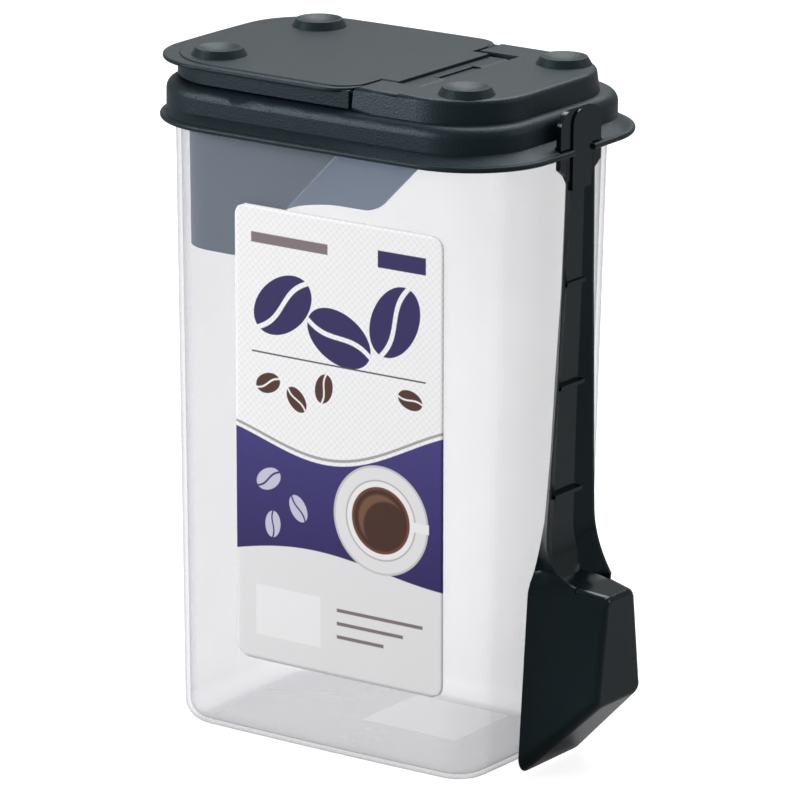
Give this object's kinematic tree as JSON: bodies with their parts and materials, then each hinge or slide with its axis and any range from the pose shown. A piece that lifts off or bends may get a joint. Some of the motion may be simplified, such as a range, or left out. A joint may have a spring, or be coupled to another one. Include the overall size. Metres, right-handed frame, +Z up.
{
  "type": "coffee dispenser",
  "caption": "Upright frosted storage container for ground coffee with a flip-top lid, a bag gripper and a scoop clipped on behind.",
  "frame": {"origin": "centre of the container's base, on the surface that it stands on", "axes": "+X from the flip cap at the front to the scoop at the rear, +Y away from the label, +Z up"},
  "size_m": [0.1515, 0.0958, 0.212],
  "materials": {
    "frosted_wall": "translucent, frosted",
    "label_paper": "printed film, satin",
    "lid_plastic": "moulded, fine matte grain",
    "gripper_plastic": "moulded, matte",
    "scoop_plastic": "moulded, glossy"
  },
  "bodies": {
    "container": {"container": "frosted_wall", "label": "label_paper"},
    "lid": {"lid_base": "lid_plastic"},
    "cap": {"flip_cap": "lid_plastic"},
    "gripper": {"bag_gripper": "gripper_plastic"},
    "scoop": {"scoop": "scoop_plastic"}
  },
  "joints": [
    {"name": "lid_lift", "type": "slide", "parent": "container", "child": "lid", "axis": [0, 0, 1], "range_m": [0, 0.06]},
    {"name": "cap_hinge", "type": "hinge", "parent": "lid", "child": "cap", "pos_m": [0.0245, 0, 0.2065], "axis": [0, 1, 0], "range_deg": [0, 115]},
    {"name": "gripper_pull", "type": "slide", "parent": "lid", "child": "gripper", "axis": [0, 0, -1], "range_m": [0, 0.045]},
    {"name": "scoop_unclip", "type": "slide", "parent": "lid", "child": "scoop", "axis": [1, 0, 0], "range_m": [0, 0.04]}
  ]
}
